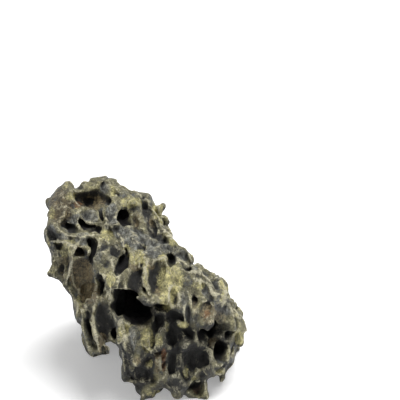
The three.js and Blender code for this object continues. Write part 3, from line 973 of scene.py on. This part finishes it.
class Shader:
    """A material's node tree, written as expressions."""

    def __init__(self, name):
        self.material = bpy.data.materials.new(name)
        self.material.use_nodes = True
        self.tree = self.material.node_tree
        self.tree.nodes.clear()
        self.place = self.node("ShaderNodeTexCoord", output="Object")

    def node(self, kind, settings=None, values=(), output=0):
        """Adds a node: settings first, then its sockets by name or in order."""
        made = self.tree.nodes.new(kind)
        for key, value in (settings or {}).items():
            setattr(made, key, value)
        pairs = values.items() if isinstance(values, dict) else enumerate(values)
        for key, value in pairs:
            self.fill(made.inputs[key], value)
        return Link(self, made.outputs[output]) if made.outputs else None

    def fill(self, socket, value):
        if isinstance(value, Link):
            self.tree.links.new(value.socket, socket)
        elif socket.type == "RGBA":
            socket.default_value = (*value[:3], 1.0)
        else:
            socket.default_value = value

    def mix(self, share, low, high):
        """Colour between low and high by a share."""
        made = self.tree.nodes.new("ShaderNodeMix")
        made.data_type = "RGBA"
        sockets = {socket.identifier: socket for socket in made.inputs}
        self.fill(sockets["Factor_Float"], share)
        self.fill(sockets["A_Color"], low)
        self.fill(sockets["B_Color"], high)
        outputs = {socket.identifier: socket for socket in made.outputs}
        return Link(self, outputs["Result_Color"])

    def attribute(self, name):
        return self.node("ShaderNodeAttribute", {"attribute_name": name}, output="Fac")

    def noise(self, scale, detail, roughness, distortion=0.0, stretch=(1, 1, 1)):
        """Noise on the piece's own coordinates; scale is in waves per metre."""
        place = self.node(
            "ShaderNodeVectorMath", {"operation": "MULTIPLY"}, (self.place, stretch)
        )
        values = {
            "Vector": place,
            "Scale": scale,
            "Detail": detail,
            "Roughness": roughness,
            "Distortion": distortion,
        }
        return self.node("ShaderNodeTexNoise", {}, values, output="Fac")

    def finish(self, values):
        """Ends the tree in a Principled surface and returns the material."""
        surface = self.node("ShaderNodeBsdfPrincipled", {}, values)
        self.node("ShaderNodeOutputMaterial", {}, {"Surface": surface})
        return self.material


def stone_finish(colours):
    """Weathered clay stone: slate under olive clay, pale ribs and edges, brown hollows. Painted
    shade darkens hollows, deep holes, dark patches and downward faces; painted light brightens
    upward faces and lifts the brown in deep hollows; painted highlights run along sharp edges.
    """
    s = Shader("weathered_clay_stone")
    front = s.attribute("front")
    ridge = s.attribute("ridge")
    crest = s.attribute("crest")
    hollow = s.attribute("hollow")
    pit = s.attribute("pit")
    up = s.attribute("up")
    broad = s.noise(45, 3, 0.55)
    mottle = s.noise(150, 6, 0.72, 0.8)
    speckle = s.noise(480, 5, 0.8)
    streak = s.noise(260, 5, 0.75, 0.4, (1, 1, 0.22))
    grain = s.noise(1000, 2, 0.6)
    broken = (mottle - 0.5) * 1.3 + (speckle - 0.5) * 1.0 + (streak - 0.5) * 0.8

    def placed(name, low=0.25, high=0.8):
        return (s.attribute(name) + broken * 0.9).between(low, high)

    def tone(colour, light):
        return tuple(channel * light for channel in colour)

    # Slate darkening towards dark slate in hollows: darker stone, and painted shade in the
    # hollows.
    bare_and_hollow_shade = s.mix((hollow + broken * 0.6).between(0.1, 0.75), colours.slate, colours.dark_slate_and_shade)
    loose = (broad - 0.5) * 2.2 + broken * 1.0 + crest * 0.4
    loose = loose + up * 0.4 - hollow * 0.6 - 0.25
    stone = s.mix(loose.between(-0.25, 0.15) * 0.85, bare_and_hollow_shade, colours.khaki)
    stone = s.mix(loose.between(0.3, 0.65) * (1 - front * 0.5), stone, colours.clay)
    earth = (0.5 - broad) * 2.0 + broken * 0.6 + hollow * 0.5
    stone = s.mix(earth.between(0.4, 1.0) * (1 - front) * 0.8, stone, colours.brown)

    share = streak.between(0.35, 0.65)
    slate = s.mix(share, tone(colours.slate, 0.35), tone(colours.slate, 1.9))
    stone = s.mix(placed("slate") * 0.85, stone, slate)
    # Dark patches: dark stone, and painted shade in the front's scoops and holes.
    stone = s.mix(placed("dark_slate_and_shade") * 0.95, stone, tone(colours.dark_slate_and_shade, 0.75))
    # Painted shade: faces that turn downwards are darkened.
    low = (1 - up + broken * 0.4).between(0.3, 0.95) * 0.55
    stone = s.mix(low, stone, colours.dark_slate_and_shade)
    # Painted shade: sheltered hollows are darkened.
    hollow_shade = (hollow + broken * 0.4).between(0.1, 0.7) * 0.8
    stone = s.mix(hollow_shade, stone, colours.dark_slate_and_shade)
    # Brown earth, painted brighter the deeper the hollow: painted light that lifts it against
    # the shade there.
    brown_lifted_in_shade = s.mix(hollow_shade, tone(colours.brown, 1.7), tone(colours.brown, 3.2))
    stone = s.mix(placed("brown") * 0.9, stone, brown_lifted_in_shade)
    grit = (mottle + speckle + streak * 2) * 0.25
    clay = s.mix(grit.between(0.36, 0.6), tone(colours.clay, 0.7), tone(colours.clay, 1.75))
    stone = s.mix(placed("clay", 0.2, 0.9) * 0.95, stone, clay)
    stone = s.mix(placed("rust") * 0.7, stone, colours.rust)

    crack = (1 - abs(s.noise(95, 5, 0.7, 1.5, (1, 1, 0.5)) - 0.5) * 22).clamp()
    stone = s.mix(crack * mottle.between(0.35, 0.55) * 0.8, stone, colours.dark_slate_and_shade)
    crawl = abs(s.noise(110, 5, 0.65, 1.2, (1, 1, 0.6)) - 0.5) * 26
    thread = abs(s.noise(240, 4, 0.65, 1.0, (1, 1, 0.4)) - 0.5) * 24
    lace = (1 - crawl).clamp() + (1 - thread).clamp() * 0.6
    open_face = (up * 0.5 + ridge * 0.5 - hollow + (mottle - 0.5) * 3).between(0.2, 0.9)
    stone = s.mix((lace * open_face * 0.8).clamp(), stone, colours.cream)
    shade = 1 - s.attribute("dark_slate_and_shade") * 0.9
    rim = (crest + s.attribute("rib") * 0.4 + broken * 1.2).between(0.4, 1.0)
    rim = rim * (0.1 + (broad + (mottle - 0.5)).between(0.4, 0.65) * 0.5) * shade
    stone = s.mix(rim, stone, colours.clay)
    # Cream on sharp ridges and ribs: pale wear, with a painted highlight along the sharp edges.
    edge = ridge * 1.2 + s.attribute("rib") * 0.55 + broken * 1.0
    stone = s.mix(edge.between(0.42, 0.8) * shade * 0.9, stone, colours.cream)
    # Painted shade: near-black on the floor of the deepest holes.
    stone = s.mix(pit.between(0.15, 0.8) * 0.97, stone, colours.deep_hole_shade)
    grains = (speckle - 0.5) * 2.6 + (grain - 0.5) * 1.8 + (streak - 0.5) * 2.2
    # Brightness of the colour: random grain, and painted light that brightens the faces turned
    # upwards.
    light = grains * (1 - s.attribute("clay") * 0.5) + 0.76 + up * 0.35
    light = light.math("MAXIMUM", light, 0.25)
    stone = s.node("ShaderNodeVectorMath", {"operation": "SCALE"}, {0: stone, "Scale": light})

    relief = mottle * 0.25 + speckle * 0.25 + streak * 0.25 + grain * 0.12 + lace * 0.05
    relief = relief - crack * 0.05
    bump = s.node(
        "ShaderNodeBump", {}, {"Strength": 1.0, "Distance": 0.009, "Height": relief}
    )
    return s.finish(
        {
            "Base Color": stone,
            "Roughness": 0.6 + (mottle - 0.5) * 0.5,
            "Specular IOR Level": 0.5,
            "Normal": bump,
        }
    )


def vertex_normals(vertices, quads):
    """Outward directions: the crossed diagonals of the quads around each vertex, summed."""
    a, b, c, d = (vertices[quads[:, i]] for i in range(4))
    face = np.cross(c - a, d - b)
    normals = np.zeros_like(vertices)
    for i in range(4):
        for axis in range(3):
            normals[:, axis] += np.bincount(
                quads[:, i], face[:, axis], minlength=len(vertices)
            )
    return normals / (np.linalg.norm(normals, axis=1, keepdims=True) + 1e-9)


class OBJECT_OT_dragon_stone(bpy.types.Operator):
    """Weather the stone out of its mass and give it its finish"""

    bl_idname = "object.dragon_stone_build"
    bl_label = "Build Stone"

    def execute(self, context):
        sizes = context.scene.dragon_stone_sizes
        rng = np.random.default_rng(sizes.seed)
        block = Block(sizes.grain / MM, sizes, rng)
        self.rough_out(block)
        block.cut_front(HOLLOWS, "hollow")
        block.cut_elsewhere()
        block.scallop((15, 15, 24), front_depth=1.5, other_depth=3.0)
        block.cup(15, (1, 1, 1.5), front_depth=4.0, other_depth=4.5)
        block.cut_front(SCOOPS, "scoop")
        block.raise_lumps()
        block.raise_ribs()
        block.weather(13, half_range=(5, 10), depth_share=(0.3, 0.6), stretch=1.7, keep=0.7)
        block.cup(7, (1, 1, 1.6), front_depth=0.8, other_depth=2.2)
        worn = block.field.copy()
        block.cut_front(HOLES, "hole")
        block.bore(15, half_range=(2.5, 6), depth_range=(8, 20), keep=0.5)
        block.weather(6, half_range=(1.6, 3), depth_share=(0.25, 0.5), stretch=1.8, keep=0.4)
        block.scallop((3.2, 3.2, 6), front_depth=0.15, other_depth=0.5)
        block.trim(radius=2, share=0.28)
        block.roughen()
        block.stand()
        block.unpinch()
        mesh = self.make_mesh(block, worn)
        mesh.materials.append(stone_finish(context.scene.dragon_stone_colours))
        stone = bpy.data.objects.new("dragon_stone", mesh)
        context.scene.collection.objects.link(stone)
        thin = stone.modifiers.new("even_out", "DECIMATE")
        thin.ratio = min(1, MOST_QUADS / len(mesh.polygons))
        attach(stone, "root")
        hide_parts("stone")
        return {"FINISHED"}

    def rough_out(self, block):
        """Adds the lobes to the mass and takes out the arches and the long flutes."""
        for centre, half in LOBES:
            part, far = block.distance(np.array(centre, float), np.diag(1 / np.array(half)), 8)
            block.join(part, far, 4.0)
        for centre, half in BITES:
            block.cut(centre, np.diag(1 / np.array(half)), 3.0)
        block.cut_flutes()

    def make_mesh(self, block, worn):
        """Skins the field and stores, for each point of the skin, what the finish follows:
        how sharp, hollow, deep or level the stone is there and where the patches lie."""
        solid = (block.field < 0).astype(np.float32)
        fine = box_blur(solid, 1)
        wide = box_blur(box_blur(solid, 4), 4)
        soft = box_blur(solid, 2)
        level = np.zeros_like(soft)
        level[:, :, 1:-1] = soft[:, :, :-2] - soft[:, :, 2:]
        net, quads = largest_shell(*skin(block.field))
        points = block.origin + net * block.step
        normals = vertex_normals(points, quads)
        right, up = board_places(points)
        facing = np.clip((normals @ BOARD_OUT + 0.3) / 0.5, 0, 1)
        facing *= np.clip(outward_at(points) @ BOARD_OUT / 0.15, 0, 1)

        mesh = bpy.data.meshes.new("dragon_stone")
        mesh.from_pydata((points - BOX_MIDDLE) * MM, [], quads)
        attributes = {
            "front": facing,
            "ridge": (0.5 - block.sample(fine, points)) * 4,
            "crest": (0.5 - block.sample(soft, points)) * 4,
            "hollow": (block.sample(wide, points) - 0.5) * 3 + 0.2,
            "up": block.sample(level, points) * 4 + 0.5,
            "pit": -block.sample(worn, points) / 9,
            "rib": board_ribs(right, up) * facing,
        }
        for name, table in PATCHES.items():
            attributes[name] = board_patches(right, up, table) * facing
        for name, values in attributes.items():
            layer = mesh.attributes.new(name, "FLOAT", "POINT")
            layer.data.foreach_set("value", np.clip(values, 0, 1).astype(np.float32))
        mesh.validate()
        return mesh


class OBJECT_OT_dragon_stone_stage(bpy.types.Operator):
    """Lay the pale floor and set the lights and the camera"""

    bl_idname = "object.dragon_stone_stage"
    bl_label = "Build Stage"

    def execute(self, context):
        stage = context.scene.dragon_stone_stage
        self.lay_floor(context, stage)
        self.hang_lights(context, stage)
        self.set_camera(context, stage)
        return {"FINISHED"}

    def lay_floor(self, context, stage):
        half = stage.floor_size / 2
        mesh = bpy.data.meshes.new("floor")
        corners = [(-half, -half, 0), (half, -half, 0), (half, half, 0), (-half, half, 0)]
        mesh.from_pydata(corners, [], [(0, 1, 2, 3)])
        floor = bpy.data.objects.new("floor", mesh)
        context.scene.collection.objects.link(floor)
        paint = {
            "Base Color": (0.9, 0.9, 0.9),
            "Roughness": 0.9,
            "Specular IOR Level": 0.1,
            "Emission Color": (1, 1, 1),
            "Emission Strength": stage.floor_glow,
        }
        mesh.materials.append(Shader("pale_floor").finish(paint))

    def hang_lights(self, context, stage):
        for name, place, size, watts in (
            ("key", (0.55, 0.1, 2.4), 1.5, stage.key_power),
            ("fill_left", (-1.2, -0.6, 0.6), 1.0, stage.fill_power),
            ("fill_right", (1.2, -0.4, 0.6), 1.0, stage.fill_power),
            ("fill_back", (0.0, 1.3, 0.8), 1.0, stage.fill_power),
        ):
            lamp = bpy.data.lights.new(name, "AREA")
            lamp.shape = "SQUARE"
            lamp.size = size
            lamp.energy = watts
            light = bpy.data.objects.new(name, lamp)
            light.location = place
            aim = LIGHTS_AIM - Vector(place)
            light.rotation_euler = aim.to_track_quat("-Z", "Y").to_euler()
            context.scene.collection.objects.link(light)
        world = bpy.data.worlds.new("studio")
        world.use_nodes = True
        back = world.node_tree.nodes["Background"]
        back.inputs["Color"].default_value = (1, 1, 1, 1)
        back.inputs["Strength"].default_value = stage.air
        context.scene.world = world
        context.scene.view_settings.view_transform = "Standard"

    def set_camera(self, context, stage):
        lens = bpy.data.cameras.new("camera")
        lens.lens = stage.lens
        lens.sensor_width = 36
        camera = bpy.data.objects.new("camera", lens)
        camera.location = Vector((EYE - BOX_MIDDLE) * MM)
        camera.rotation_euler = Vector(-BOARD_OUT).to_track_quat("-Z", "Y").to_euler()
        context.scene.collection.objects.link(camera)
        context.scene.camera = camera


class VIEW3D_PT_dragon_stone(bpy.types.Panel):
    """Sizes, colours and steps of the dragon stone"""

    bl_label = "Dragon Stone"
    bl_idname = "VIEW3D_PT_dragon_stone"
    bl_space_type = "VIEW_3D"
    bl_region_type = "UI"
    bl_category = "Dragon Stone"

    def draw(self, context):
        for setting, group in GROUPS.items():
            box = self.layout.box()
            for name in group.__annotations__:
                box.prop(getattr(context.scene, setting), name)
        self.layout.operator(OBJECT_OT_dragon_stone.bl_idname)
        self.layout.operator(OBJECT_OT_dragon_stone_stage.bl_idname)


GROUPS = {
    "dragon_stone_sizes": DragonStoneSizes,
    "dragon_stone_colours": DragonStoneColours,
    "dragon_stone_stage": DragonStoneStage,
}
CLASSES = (
    *GROUPS.values(),
    OBJECT_OT_dragon_stone,
    OBJECT_OT_dragon_stone_stage,
    VIEW3D_PT_dragon_stone,
)


def register():
    for cls in CLASSES:
        bpy.utils.register_class(cls)
    for setting, group in GROUPS.items():
        setattr(bpy.types.Scene, setting, PointerProperty(type=group))


def unregister():
    for setting in GROUPS:
        delattr(bpy.types.Scene, setting)
    for cls in reversed(CLASSES):
        bpy.utils.unregister_class(cls)


def main():
    register()
    bpy.ops.object.dragon_stone_build()
    bpy.ops.object.dragon_stone_stage()


if __name__ == "__main__":
    main()
